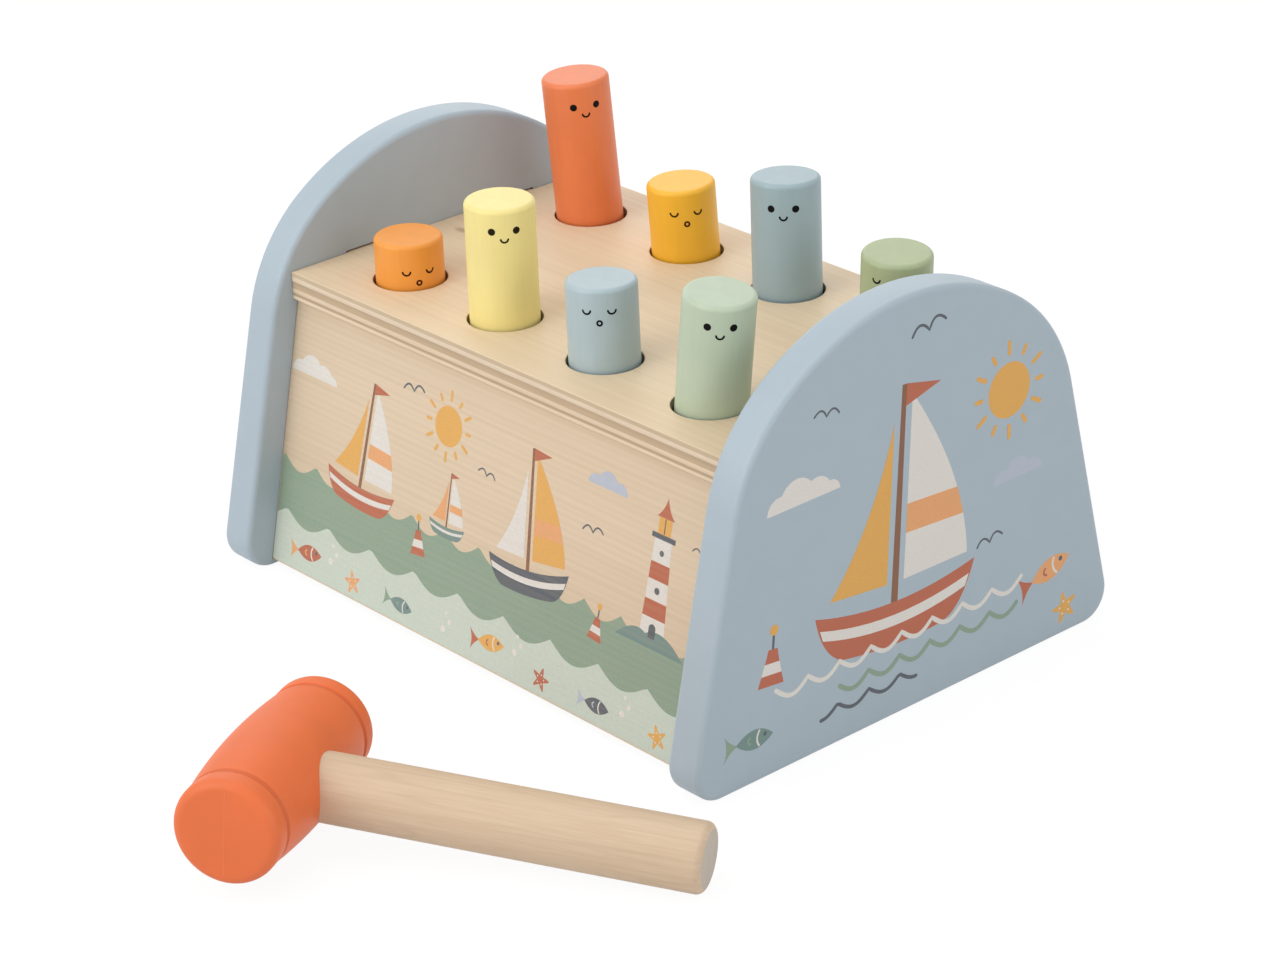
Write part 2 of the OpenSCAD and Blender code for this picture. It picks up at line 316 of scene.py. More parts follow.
def woodFinish(name, wood, mark=None):
    finish, look = newFinish(name), woodLook
    grain = grainOf(finish, wood)
    pores = finish.noise(wood["pores"], detail=2, roughness=0.6)
    broad = finish.noise(wood["broad"], detail=2)
    figure = (0.5 + (grain - 0.5) * wood["contrast"] * 2 + (broad - 0.5) * look["broadShare"]
              + (pores - 0.5) * look["poreShare"])
    base = finish.mix(finish.ease(figure, 0, 1), wood["dark"], wood["light"])
    flecks = finish.ease(pores, look["fleckStart"], look["fleckEnd"], 0, look["fleckDepth"])
    base = finish.mix(flecks, base, shade(wood["dark"], look["fleckShade"]))
    if "figure" in wood:  # thin lines where the growth rings come to the surface
        rings = finish.node("ShaderNodeMath", {"operation": "PINGPONG"},
                            {0: finish.noise(wood["figure"], detail=1), 1: look["ringGap"]})
        lines = finish.ease(rings, 0, look["ringWidth"], look["ringDepth"], 0)
        base = finish.mix(lines, base, shade(wood["dark"], look["ringShade"]))
    if mark:  # a small knot in the veneer
        away = finish.node("ShaderNodeVectorMath", {"operation": "DISTANCE"},
                           {0: finish.spot(mark["stretch"]), 1: mark["place"]}, 1)
        knot = finish.ease(away, mark["core"], mark["reach"], mark["depth"], 0)
        base = finish.mix(knot, base, mark["tone"])
    relief = finish.bump(grain + pores * look["poreRelief"], look["bumpHeight"], wood["relief"])
    finish.surface({"Base Color": base, "Normal": relief,
                    "Roughness": wood["roughness"] + (pores - 0.5) * look["poreSheen"]})
    return finish


plyLook = {"blur": 0.012, "waves": (30, 30, 0), "waver": 0.012, "streaks": (60, 60, 2600), "streakStart": 0.35,
           "streakEnd": 0.75, "streakDepth": 0.16, "streakTone": tint(150, 120, 86), "roughness": 0.62,
           "bumpHeight": 0.08 * mm, "relief": 0.5}
endLook = {"pores": (1400, 1400, 1400), "rings": (60, 420, 60), "poreShare": 0.6, "low": 0.94, "high": 1.04,
           "roughness": 0.7, "bumpHeight": 0.05 * mm, "relief": 0.4}


def plyFinish(name, low, high, layers):  # the layers of a plywood edge, by their height
    finish, look = newFinish(name), plyLook
    height = finish.node("ShaderNodeSeparateXYZ", {}, {0: finish.spot((1, 1, 1))}, 2)
    share = (height - low) * (1 / (high - low))
    waver = (finish.noise(look["waves"], detail=2) - 0.5) * look["waver"]
    stops = []
    for start, end, colour in layers:
        stops += [(start + look["blur"], colour), (end - look["blur"], colour)]
    tone = finish.node("ShaderNodeValToRGB", {"stops": stops}, {0: share + waver})
    streaks = finish.noise(look["streaks"], detail=3, roughness=0.6)
    dark = finish.ease(streaks, look["streakStart"], look["streakEnd"], look["streakDepth"], 0)
    finish.surface({"Base Color": finish.mix(dark, tone, look["streakTone"]), "Roughness": look["roughness"],
                    "Normal": finish.bump(streaks, look["bumpHeight"], look["relief"])})
    return finish


def endGrainFinish(name, colour):  # a sawn and sanded end
    finish, look = newFinish(name), endLook
    pores = finish.noise(look["pores"], detail=3, roughness=0.6)
    rings = finish.noise(look["rings"], detail=2)
    figure = pores * look["poreShare"] + rings * (1 - look["poreShare"])
    finish.surface({"Base Color": finish.mottled(figure, colour, look["low"], look["high"]),
                    "Roughness": look["roughness"],
                    "Normal": finish.bump(pores, look["bumpHeight"], look["relief"])})
    return finish


# Paints, inks and the rest

paintLook = {"grain": (240, 240, 9), "mottle": (70, 70, 70), "peel": (900, 900, 900), "wander": 0.035,
             "roughness": 0.42, "peelSheen": 0.12, "peelShare": 0.8, "bumpHeight": 0.04 * mm, "relief": 0.35}
inkLook = {"speckle": (2200, 2200, 2200), "low": 0.93, "high": 1.05, "grainStart": 0.25, "grainEnd": 0.75,
           "grainShow": 0.12, "grainShade": 0.9, "roughness": 0.5, "speckleSheen": 0.1, "gloss": 0.5}
rubberLook = {"cloud": (38, 38, 38), "skin": (1500, 1500, 1500), "low": 0.96, "high": 1.04, "roughness": 0.5,
              "skinSheen": 0.12, "cloudSheen": 0.1, "gloss": 0.45, "bumpHeight": 0.03 * mm, "relief": 0.5}
steelLook = {"drawn": (20, 2600, 2600), "dark": tint(150, 152, 154), "light": tint(196, 197, 198),
             "roughness": 0.26, "drawnSheen": 0.2}


def paintFinish(name, colour, look=paintLook):  # satin paint over sanded wood
    finish = newFinish(name)
    under = finish.noise(look["grain"], detail=3, roughness=0.55)
    mottle = finish.noise(look["mottle"], detail=3)
    peel = finish.noise(look["peel"], detail=2)
    base = finish.mottled((under + mottle) * 0.5, colour, 1 - look["wander"], 1 + look["wander"])
    skin = peel * look["peelShare"] + under * (1 - look["peelShare"])
    finish.surface({"Base Color": base, "Roughness": look["roughness"] + (peel - 0.5) * look["peelSheen"],
                    "Normal": finish.bump(skin, look["bumpHeight"], look["relief"])})
    return finish


def inkFinish(name, colour, wood=None, gloss=inkLook["gloss"]):  # on wood the grain shows through the ink
    finish, look = newFinish(name), inkLook
    speckle = finish.noise(look["speckle"], detail=2, roughness=0.7)
    base = finish.mottled(speckle, colour, look["low"], look["high"])
    if wood:
        grain = finish.ease(grainOf(finish, wood), look["grainStart"], look["grainEnd"], look["grainShow"], 0)
        base = finish.mix(grain, base, shade(wood["dark"], look["grainShade"]))
    finish.surface({"Base Color": base, "Specular IOR Level": gloss,
                    "Roughness": look["roughness"] + (speckle - 0.5) * look["speckleSheen"]})
    return finish


def rubberFinish(name, colour):
    finish, look = newFinish(name), rubberLook
    cloud = finish.noise(look["cloud"], detail=3)
    skin = finish.noise(look["skin"], detail=2)
    sheen = (skin - 0.5) * look["skinSheen"] + (cloud - 0.5) * look["cloudSheen"]
    finish.surface({"Base Color": finish.mottled(cloud, colour, look["low"], look["high"]),
                    "Roughness": look["roughness"] + sheen, "Specular IOR Level": look["gloss"],
                    "Normal": finish.bump(skin, look["bumpHeight"], look["relief"])})
    return finish


def steelFinish(name):
    finish, look = newFinish(name), steelLook
    drawn = finish.noise(look["drawn"], detail=3, roughness=0.6)
    finish.surface({"Base Color": finish.mix(drawn, look["dark"], look["light"]), "Metallic": 1,
                    "Roughness": look["roughness"] + drawn * look["drawnSheen"]})
    return finish


# Bench: sizes read from the frame

panelLow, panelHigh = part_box("right_end_panel")
deckLow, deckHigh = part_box("top_board")
wallLow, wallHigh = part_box("front_board")
baseLow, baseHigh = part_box("base_board")
rodPlace = joints["rocker_1_pivot"]["pos_m"]
columns = [joints[f"rocker_{n}_pivot"]["pos_m"][0] for n in (1, 2, 3, 4)]
rowY = 38.2 * mm
grooveFit = 0.15 * mm

wall = {"thickness": 6 * mm, "footY": -wallLow.y, "footZ": wallLow.z, "headZ": wallHigh.z,
        "overhang": 2.1 * mm, "edgeRadius": 0.3 * mm, "edgeSteps": 3, "support": 0.3 * mm}
wall["headY"] = deckHigh.y - wall["overhang"]
wall["slope"] = math.hypot(wall["headZ"] - wall["footZ"], wall["footY"] - wall["headY"])
wall["skew"] = wall["thickness"] * wall["slope"] / (wall["headZ"] - wall["footZ"])


def wallY(height, inner=0):  # how far out a leaning board's face is at a height
    share = (height - wall["footZ"]) / (wall["headZ"] - wall["footZ"])
    return wall["footY"] + (wall["headY"] - wall["footY"]) * share - inner * wall["skew"]


# End panels

panel = {"crownRadius": 82.8 * mm, "crownHalfAngle": 36.1, "shoulderRadius": 56.8 * mm,
         "cornerRadius": 9.9 * mm, "edgeRadius": 1.9 * mm, "edgeSteps": 7, "support": 0.5 * mm,
         "grooveDepth": 4 * mm, "rodRadius": 3.08 * mm, "rodDepth": 6 * mm, "core": tint(70, 54, 42),
         "colour": tint(174, 189, 199)}
panelLook = {**paintLook, "grain": (160, 160, 160), "roughness": 0.45, "wander": 0.012}
tongue = {"width": 22 * mm, "place": 28.5 * mm, "slack": 0.6 * mm}


def panelOutline():
    crown, shoulder, corner = panel["crownRadius"], panel["shoulderRadius"], panel["cornerRadius"]
    lead = math.radians(panel["crownHalfAngle"])
    crownZ = panelHigh.z - crown
    shoulderY = (crown - shoulder) * math.sin(lead)
    shoulderZ = crownZ + (crown - shoulder) * math.cos(lead)
    cornerY = panelHigh.y - corner
    run, rise = cornerY - shoulderY, shoulderZ - corner
    side = math.degrees(math.acos((shoulder - corner) / math.hypot(run, rise)) - math.atan2(rise, run))
    top = 90 - panel["crownHalfAngle"]
    half = arc((cornerY, corner), corner, -90, side, 16)
    half += arc((shoulderY, shoulderZ), shoulder, side, top, 44) + arc((0, crownZ), crown, top, 90, 40)
    return clean(half + [(-y, z) for y, z in reversed(half[:-1])])


def panelPockets():  # one channel takes the front, back and base boards; two mortises take the tongues
    fit = grooveFit
    low, high = wall["footZ"] - fit, wall["headZ"] + fit
    under, over = baseLow.z - fit, baseHigh.z + fit
    half = [(-wallY(high) - fit, high), (-wallY(low) - fit, low), (-wallY(low, 1) + fit, low),
            (-wallY(under, 1) + fit, under)]
    other = [(-wallY(over, 1) + fit, over), (-wallY(high, 1) + fit, high)]
    channel = (half + [(-y, z) for y, z in reversed(half)] + [(-y, z) for y, z in reversed(other)] + other)
    pockets = [(channel, panel["grooveDepth"])]
    for side in (-1, 1):
        near, far = (side * tongue["place"] + end * (tongue["width"] / 2 + fit) for end in (-1, 1))
        mortise = [(near, deckLow.z - fit), (far, deckLow.z - fit), (far, deckHigh.z + tongue["slack"]),
                   (near, deckHigh.z + tongue["slack"])]
        pockets.append((mortise, panel["grooveDepth"]))
    rodHole = arc((0, rodPlace[2]), panel["rodRadius"], 0, 360, 32)[:-1]
    return pockets + [(rodHole, panel["rodDepth"])]


panelPaint = paintFinish("panelPaint", panel["colour"], panelLook)
# the bare board inside the pockets, coloured dark brown as painted shade in the slits
panelPocketBoardAndShade = endGrainFinish("panelPocketBoardAndShade", panel["core"])
thickness = panelHigh.x - panelLow.x
panelRings = roundedRings(thickness, panel["edgeRadius"], panel["edgeSteps"], panel["support"])
for name, side in (("left", -1), ("right", 1)):
    bm = bmesh.new()
    plate(bm, [panelOutline()], panelRings, lambda u, v, w: (side * (panelLow.x + w), u, v), panelPockets())
    newPiece(f"{name}_panel_painted", bm, "bench", [panelPaint, panelPocketBoardAndShade],
             [f"{name}_end_panel"])
print("end panels made")

# Top board

deck = {"edgeRadius": 0.35 * mm, "edgeSteps": 3, "support": 0.4 * mm, "holeRadius": 11.95 * mm,
        "holeSteps": 72, "scrape": 0.05 * mm, "borePaintedShade": 0.4, "flatFrom": 0.6,
        # plywood layers from the underside up: start and end as shares of the thickness, and colour
        "layers": [(0.00, 0.14, tint(242, 221, 192)), (0.14, 0.25, tint(196, 172, 140)),
                   (0.25, 0.41, tint(236, 214, 185)), (0.41, 0.665, tint(203, 178, 147)),
                   (0.665, 0.83, tint(238, 219, 192)), (0.83, 1.00, tint(207, 186, 156))],
        "knot": {"place": (-45 * mm, -1 * mm, deckHigh.z), "stretch": (0.5, 1, 1), "core": 0.6 * mm,
                 "reach": 2.2 * mm, "depth": 0.5, "tone": tint(150, 122, 92)}}


def deckOutline():
    end, reach, half = panelLow.x - grooveFit, deckHigh.x, deckHigh.y
    near, far = tongue["place"] - tongue["width"] / 2, tongue["place"] + tongue["width"] / 2
    right = [(end, -half), (end, -far), (reach, -far), (reach, -near), (end, -near),
             (end, near), (reach, near), (reach, far), (end, far), (end, half)]
    return right + [(-x, -y) for x, y in right]


def deckRings():  # the darker layers wear back a little at the edges
    height = deckHigh.z - deckLow.z
    steps = []
    for i, end in enumerate(layer[1] for layer in deck["layers"][:-1]):
        before, after = (deck["scrape"] if n % 2 else 0 for n in (i, i + 1))
        steps += [(before, end * height - deck["scrape"]), (after, end * height + deck["scrape"])]
    return roundedRings(height, deck["edgeRadius"], deck["edgeSteps"], deck["support"], steps)


deckVeneer = woodFinish("deckVeneer", deckWood, deck["knot"])
deckEdge = plyFinish("deckEdge", deckLow.z, deckHigh.z, deck["layers"])
# the hole walls take the ply layers darkened: painted shade inside the holes
paintedShadeBoreLayers = [(start, end, shade(colour, deck["borePaintedShade"])) for start, end, colour in deck["layers"]]
deckBorePaintedShade = plyFinish("deckBorePaintedShade", deckLow.z, deckHigh.z, paintedShadeBoreLayers)
holeCentres = [(x, y) for x in columns for y in (-rowY, rowY)]
holes = [arc(centre, deck["holeRadius"], 360, 0, deck["holeSteps"])[:-1] for centre in holeCentres]
boreReach = deck["holeRadius"] + deck["edgeRadius"] / 2
bm = bmesh.new()
plate(bm, [deckOutline()] + holes, deckRings(), lambda u, v, w: (u, v, deckLow.z + w))
bm.normal_update()
for facet in bm.faces:  # veneer on the flats, layers at the edges, and in the bored holes the layers darkened as painted shade
    middle = facet.calc_center_median()
    bored = any(math.dist(middle.xy, centre) < boreReach for centre in holeCentres)
    facet.material_index = 0 if abs(facet.normal.z) > deck["flatFrom"] else 2 if bored else 1
newPiece("top_board_plywood", bm, "bench", [deckVeneer, deckEdge, deckBorePaintedShade], ["top_board"])
print("top board made")

# Front and back boards

wallVeneer = woodFinish("wallVeneer", wallWood)


def wallSection():  # the leaning board's section, with eased corners, for the back of the bench
    corners = [(wallY(wall["footZ"], 1), wall["footZ"]), (wallY(wall["footZ"]), wall["footZ"]),
               (wallY(wall["headZ"]), wall["headZ"]), (wallY(wall["headZ"], 1), wall["headZ"])]
    loop = []
    for before, point, after in zip(corners[-1:] + corners[:-1], corners, corners[1:] + corners[:1]):
        start = Vector(point) + (Vector(before) - Vector(point)).normalized() * wall["edgeRadius"]
        end = Vector(point) + (Vector(after) - Vector(point)).normalized() * wall["edgeRadius"]
        loop += bend(start, point, end, 4)
    return loop


wallRings = roundedRings(2 * wallHigh.x, wall["edgeRadius"], wall["edgeSteps"], wall["support"])
for name, side in (("front", -1), ("back", 1)):
    bm = bmesh.new()
    plate(bm, [wallSection()], wallRings, lambda u, v, w: (w - wallHigh.x, side * u, v))
    newPiece(f"{name}_board_plywood", bm, "bench", [wallVeneer], [f"{name}_board"])
print("front and back boards made")

# Pegs: a painted dowel each, with a small face

peg = {"radius": 11.05 * mm, "rimRadius": 1.5 * mm, "collarRadius": 13.25 * mm, "collarTop": -60.2 * mm,
       "footTop": -64.2 * mm, "footRadius": 30 * mm, "segments": 120, "ease": 0.3 * mm, "support": 0.6 * mm}
pegTints = {"orange": tint(247, 160, 62), "yellow": tint(249, 231, 150), "light_blue": tint(177, 195, 200),
            "mint": tint(190, 205, 180), "red": tint(235, 127, 74), "mustard": tint(255, 191, 48),
            "blue": tint(159, 180, 187), "green": tint(174, 186, 145)}
# turn of each face about its peg in degrees, drop of its eyes below the top, and whether it is awake
pegFaces = {"orange": (-23.2, 8.9, False), "yellow": (-33.5, 6.7, True), "light_blue": (-45.7, 6.9, False),
            "mint": (-39.9, 6.3, True), "red": (-26.8, 7.5, True), "mustard": (-35.3, 7.25, False),
            "blue": (-48.0, 7.7, True), "green": (-59.2, 5.6, False)}
# sizes in millimetres; smiles and lids are arcs between two angles in degrees
drawing = {"eyeOut": 3.9, "dotRadius": 1.16, "stroke": 0.6, "smileRadius": 1.16, "smileDrop": 2.35,
           "lidRadius": 1.25, "lidLift": 0.5, "arcStart": 188, "arcEnd": 352, "mouthRadius": 0.73,
           "mouthDrop": 3.5, "low": -0.06, "high": 0.03, "gloss": 0.1}
blackInk = inkFinish("blackInk", tint(14, 13, 13), gloss=drawing["gloss"])
brownInk = inkFinish("brownInk", tint(64, 30, 11), gloss=drawing["gloss"])
umberInk = inkFinish("umberInk", tint(36, 28, 10), gloss=drawing["gloss"])
faceInks = {"orange": brownInk, "mustard": brownInk, "yellow": umberInk}


def pegProfile():
    rim, ease = peg["rimRadius"], peg["ease"]
    rise = peg["footRadius"] - math.sqrt(peg["footRadius"] ** 2 - peg["collarRadius"] ** 2)
    foot = math.degrees(math.asin(peg["collarRadius"] / peg["footRadius"]))
    top = [(0, 0), (peg["radius"] - rim - peg["support"], 0)]
    top += arc((peg["radius"] - rim, -rim), rim, 90, 0, 10)
    collar = [(peg["radius"], peg["collarTop"] + ease), (peg["radius"], peg["collarTop"]),
              (peg["collarRadius"] - ease, peg["collarTop"]), (peg["collarRadius"], peg["collarTop"] - ease)]
    dome = arc((0, peg["footTop"] - rise + peg["footRadius"]), peg["footRadius"], foot - 90, -90, 10)
    return top + collar + dome[:-1] + [(0, dome[-1][1])]


def pegMatrix(name):  # stands on the peg's slide axis, with its origin in the middle of the peg's top
    axis = Vector(joints[f"{name}_peg_slide"]["axis"]).normalized()
    right = (Vector((1, 0, 0)) - axis * axis.x).normalized()
    turn = Matrix((right, axis.cross(right), axis)).transposed()
    local = [turn.transposed() @ vertex.co for vertex in nodes[f"{name}_peg"].data.vertices]
    spans = [(min(p[k] for p in local), max(p[k] for p in local)) for k in range(3)]
    top = Vector((sum(spans[0]) / 2, sum(spans[1]) / 2, spans[2][1]))
    return Matrix.Translation(turn @ top) @ turn.to_4x4()


def drawFace(bm, turn, drop, awake):
    def wrap(x, y, height):  # a flat drawing in millimetres, laid round the peg
        angle = math.radians(turn) + x * mm / peg["radius"]
        radius = peg["radius"] + height * mm
        return (radius * math.cos(angle), radius * math.sin(angle), (y - drop) * mm)
    low, high, stroke = drawing["low"], drawing["high"], drawing["stroke"]
    start, end = drawing["arcStart"], drawing["arcEnd"]
    for side in (-1, 1):
        eye = side * drawing["eyeOut"]
        if awake:
            r = drawing["dotRadius"]
            pill = [(0, high), (r / 2, high), (r, high), (r, low), (r / 2, low), (0, low)]
            lathe(bm, pill, 32, lambda x, y, z: wrap(eye + x, y, z))
        else:
            lid = arc((eye, drawing["lidLift"]), drawing["lidRadius"], start, end, 14)
            ribbon(bm, lid, stroke, low, high, wrap)
    if awake:
        smile = arc((0, -drawing["smileDrop"]), drawing["smileRadius"], start, end, 16)
        ribbon(bm, smile, stroke, low, high, wrap)
    else:
        ring = arc((0, -drawing["mouthDrop"]), drawing["mouthRadius"], 0, 360, 24)[:-1]
        ribbon(bm, ring, stroke, low, high, wrap, closed=True)


for name, (turn, drop, awake) in pegFaces.items():
    matrix = pegMatrix(name)
    bm = bmesh.new()
    lathe(bm, pegProfile(), peg["segments"])
    paint = paintFinish(f"{name}Paint", pegTints[name])
    newPiece(f"{name}_peg_painted", bm, f"{name}_peg", [paint], [f"{name}_peg"], matrix)
    bm = bmesh.new()
    drawFace(bm, turn, drop, awake)
    ink = faceInks.get(name, blackInk)
    newPiece(f"{name}_peg_face", bm, f"{name}_peg", [ink], (), matrix)
print("pegs made:", len(pegFaces))

# Mallet: lies on its far band with the handle's end on the floor

mallet = {"place": (38.7 * mm, -181.15 * mm), "turn": 31, "roll": 4.2, "headLength": 76 * mm,
          "headRadius": 16.15 * mm, "swell": 1.7 * mm, "rim": 3 * mm, "band": 7 * mm, "groove": 2 * mm,
          "grooveDepth": 0.7 * mm, "groovePaintedShade": 0.82, "soft": 0.35 * mm, "support": 0.6 * mm,
          "handleRadius": 10.4 * mm, "reach": 129.5 * mm, "handleRim": 2.5 * mm, "handleSupport": 0.5 * mm,
          "seat": 7 * mm, "fit": 0.05 * mm, "drillPast": 3 * mm, "drillSegments": 96, "segments": 144,
          "colour": tint(237, 116, 62), "endColour": tint(200, 188, 174), "endFrom": 0.95}
# the fine ridge that the mould leaves across each face, in millimetres; its lighter colour is a painted
# highlight
parting = {"width": 0.3, "root": -0.1, "height": 0.04, "steps": 20, "colour": tint(241, 127, 80)}


def malletMatrix():  # X is the handle, Y the head
    bellyRadius = mallet["headRadius"] + mallet["swell"]
    half = mallet["headLength"] / 2 - mallet["band"] - mallet["groove"]
    arcRadius = (half ** 2 + mallet["swell"] ** 2) / (2 * mallet["swell"])
    roll = math.radians(mallet["roll"])
    bellyRest = arcRadius - (arcRadius - bellyRadius) * math.cos(roll)
    bandRest = (mallet["rim"] + (mallet["headRadius"] - mallet["rim"]) * math.cos(roll)
                + (mallet["headLength"] / 2 - mallet["rim"]) * math.sin(roll))
    height = max(bellyRest, bandRest)
    tilt = math.asin((height - mallet["handleRadius"]) / mallet["reach"])
    turned = Matrix.Rotation(math.radians(mallet["turn"]), 4, "Z") @ Matrix.Rotation(tilt, 4, "Y")
    return Matrix.Translation((*mallet["place"], height)) @ turned @ Matrix.Rotation(-roll, 4, "X")


def headProfile():
    radius, half, rim = mallet["headRadius"], mallet["headLength"] / 2, mallet["rim"]
    belly = half - mallet["band"] - mallet["groove"]
    arcRadius = (belly ** 2 + mallet["swell"] ** 2) / (2 * mallet["swell"])
    lean = math.degrees(math.asin(belly / arcRadius))
    floor = radius - mallet["grooveDepth"]
    soft, bandStart = mallet["soft"], half - mallet["band"]
    side = arc((radius + mallet["swell"] - arcRadius, 0), arcRadius, 0, lean, 16)[:-1]
    side += bend((radius, belly - soft), (radius, belly), (radius - soft, belly + soft * 0.6), 4)
    side += bend((floor + soft * 0.6, belly + soft), (floor, belly + soft * 1.6),
                 (floor, belly + soft * 2.6), 4)
    side += bend((floor, bandStart - soft * 2.2), (floor, bandStart - soft),
                 (floor + soft * 0.8, bandStart - soft * 0.4), 4)
    side += bend((radius - soft, bandStart), (radius, bandStart), (radius, bandStart + soft), 4)
    side += arc((radius - rim, half - rim), rim, 0, 90, 12)
    side += [(radius - rim - mallet["support"], half), (0, half)]
    return [(r, -z) for r, z in reversed(side[1:])] + side


malletPlace = malletMatrix()
headRubber = rubberFinish("headRubber", mallet["colour"])
# the grooves take a darker rubber: painted shade in the recesses
grooveRubberPaintedShade = rubberFinish("grooveRubberPaintedShade", shade(mallet["colour"], mallet["groovePaintedShade"]))
# the ridges take a lighter rubber than the head: a painted highlight
flashRubberPaintedHighlight = rubberFinish("flashRubberPaintedHighlight", parting["colour"])
bm = bmesh.new()
lathe(bm, headProfile(), mallet["segments"], lambda x, y, z: (x, -z, y))
bandStart = mallet["headLength"] / 2 - mallet["band"]
for facet in bm.faces:  # the grooves beside the bands are darkened as painted shade
    along = abs(facet.calc_center_median().y)
    facet.material_index = 1 if bandStart - mallet["groove"] < along < bandStart else 0
head = newPiece("mallet_head_moulded", bm, "mallet", [headRubber, grooveRubberPaintedShade],
                ["mallet_head"], malletPlace)

# the handle's bore, cut out of the head
bm = bmesh.new()
boreRadius = mallet["handleRadius"] + mallet["fit"]
boreEnd = mallet["headRadius"] + mallet["swell"] + mallet["drillPast"]
bore = [(0, -mallet["seat"]), (boreRadius, -mallet["seat"]), (boreRadius, boreEnd), (0, boreEnd)]
lathe(bm, bore, mallet["drillSegments"], lambda x, y, z: (z, y, -x))
bmesh.ops.recalc_face_normals(bm, faces=bm.faces)
drillMesh = bpy.data.meshes.new("drill")
bm.to_mesh(drillMesh)
bm.free()
drill = bpy.data.objects.new("drill", drillMesh)
drill.matrix_world = malletPlace
bpy.context.scene.collection.objects.link(drill)
cut = head.modifiers.new("bore", "BOOLEAN")
cut.object = drill
cut.solver = "EXACT"
bpy.context.view_layer.update()
drilled = bpy.data.meshes.new_from_object(head.evaluated_get(bpy.context.evaluated_depsgraph_get()))
head.modifiers.clear()
head.data = drilled
head.data.set_sharp_from_angle(angle=math.radians(creaseAngle))
bpy.data.objects.remove(drill)

bm = bmesh.new()
for end in (-1, 1):
    flat = mallet["headRadius"] / mm - mallet["rim"] / mm
    line = [(0, flat * (2 * i / parting["steps"] - 1)) for i in range(parting["steps"] + 1)]
    ribbon(bm, line, parting["width"], parting["root"], parting["height"],
           lambda x, y, z: (x * mm, end * (mallet["headLength"] / 2 + z * mm), y * mm))
newPiece("mallet_parting_ridges", bm, "mallet", [flashRubberPaintedHighlight], (), malletPlace)

bm = bmesh.new()
handleEnd, rim = mallet["reach"], mallet["handleRim"]
profile = [(0, mallet["fit"] - mallet["seat"]), (mallet["handleRadius"], mallet["fit"] - mallet["seat"])]
profile += arc((mallet["handleRadius"] - rim, handleEnd - rim), rim, 0, 90, 12)
profile += [(mallet["handleRadius"] - rim - mallet["handleSupport"], handleEnd), (0, handleEnd)]
lathe(bm, profile, mallet["segments"])
# the handle's own Z lies along the mallet's X
handleTurn = Matrix(((0, 0, 1), (0, 1, 0), (-1, 0, 0))).to_4x4()
bm.normal_update()
for facet in bm.faces:
    facet.material_index = 1 if abs(facet.normal.z) > mallet["endFrom"] else 0
newPiece("mallet_handle_turned", bm, "mallet",
         [woodFinish("handleMaple", handleWood), endGrainFinish("handleEnd", mallet["endColour"])],
         ["mallet_handle"], malletPlace @ handleTurn)
print("mallet made")

# Printed pictures: boats and weather in flat inks, each shape a thin layer on its board

# in millimetres, as all the drawings are; sharp is in degrees
printSizes = {"under": -0.02, "first": 0.02, "step": 0.006, "margin": 0.3, "sharp": 20}
inkTints = {"sage": tint(141, 163, 141), "mint": tint(205, 215, 201), "rust": tint(188, 103, 73),
            "cream": tint(230, 225, 217), "charcoal": tint(86, 92, 100), "mustard": tint(231, 173, 86),
            "peach": tint(235, 168, 112), "bark": tint(137, 92, 64), "lilac": tint(186, 194, 208),
            "teal": tint(116, 143, 137)}


def disc(x, y, radius):
    return arc((x, y), radius, 0, 360, 28)[:-1]


def boat(hullInk, sailInk, jibInk):
    hull = (bend((-14, 7), (0, 3.6), (14.5, 7.6)) + bend((14.5, 7.6), (12.5, 0.5), (8.5, 0))
            + bend((8.5, 0), (0, -1.2), (-9, 0)) + bend((-9, 0), (-12.6, 1.5), (-14, 7)))
    stripe = bend((-13.1, 5.1), (0, 1.9), (13.6, 5.6)) + bend((13, 4), (0, 0.4), (-12.5, 3.6))
    leech = bend((13, 8.8), (12, 20), (1.5, 33.5), 24)
    jib = bend((-1.5, 30), (-4.5, 17), (-11.5, 8.6)) + [(-1.5, 8.2)]
    band = leech[6:11]
    return [("bark", [(-0.6, 4.6), (0.6, 4.6), (0.4, 35), (-0.4, 35)], None), (hullInk, hull, None),
            ("cream", stripe, None), (sailInk, leech + [(1.5, 8.2)], None),
            ("peach", band + [(1.5, band[-1][1]), (1.5, band[0][1])], None), (jibInk, jib, None),
            ("rust", [(0.4, 35), (0.4, 32), (6.5, 34)], None)]


def sun(radius, rays=12):
    items = [("mustard", disc(0, 0, radius), None)]
    for k in range(rays):
        angle = 2 * math.pi * k / rays
        near, far = radius * 1.32, radius * (1.72 if k % 2 else 1.58)
        ray = [(r * math.cos(angle), r * math.sin(angle)) for r in (near, far)]
        items.append(("mustard", ray, radius * 0.16))
    return items


def cloud(lobes, ink="cream"):  # each lobe: its place, lift and radius on one flat base
    left, right = min(x - r for x, y, r in lobes), max(x + r for x, y, r in lobes)
    outline = []
    for i in range(61):
        x = (left + right) / 2 - (right - left) / 2 * math.cos(math.pi * i / 60)
        tops = [lift + math.sqrt(r * r - (x - place) ** 2) for place, lift, r in lobes if abs(x - place) < r]
        outline.append((x, max(tops, default=0)))
    return [(ink, outline, None)]


def gull(span):
    wings = bend((-span, 0.1 * span), (-span * 0.45, span * 0.8), (0, 0), 10)
    return [("charcoal", wings + [(-x, y) for x, y in reversed(wings[:-1])], span * 0.13)]


